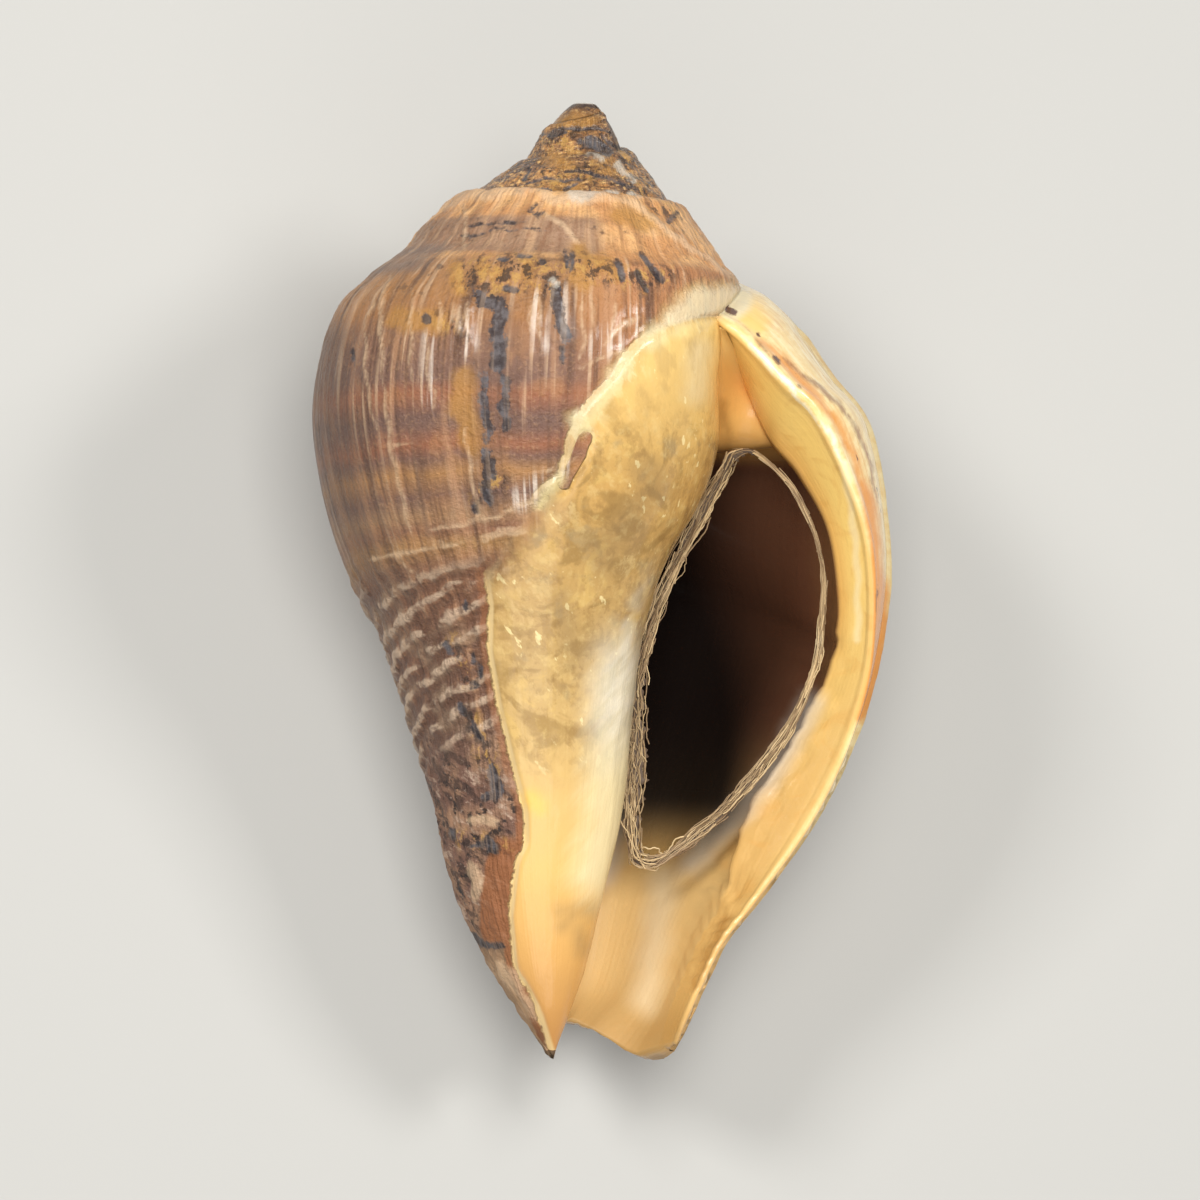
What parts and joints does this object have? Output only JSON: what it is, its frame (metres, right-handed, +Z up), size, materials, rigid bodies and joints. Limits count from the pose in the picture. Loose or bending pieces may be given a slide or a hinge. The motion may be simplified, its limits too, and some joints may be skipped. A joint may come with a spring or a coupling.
{
  "type": "seashell",
  "caption": "Pear-shaped coiled seashell with a low worn spire, a wide glazed mouth, a short open canal and the ragged rim of its horny lid, lying on its back.",
  "frame": {"origin": "centre of the small flat spot on the back of the last whorl, which rests on the ground", "axes": "+Z up, away from the ground, out of the mouth side; +Y towards the apex; +X towards the outer lip"},
  "size_m": [0.0479, 0.0784, 0.0426],
  "materials": {
    "shell": "worn brown outside with dark patches, glossy cream and golden lip and columella",
    "operculum_rim": "dry fibrous horn, matt"
  },
  "bodies": {
    "root": {"shell": "shell", "operculum_rim": "operculum_rim"}
  },
  "joints": []
}
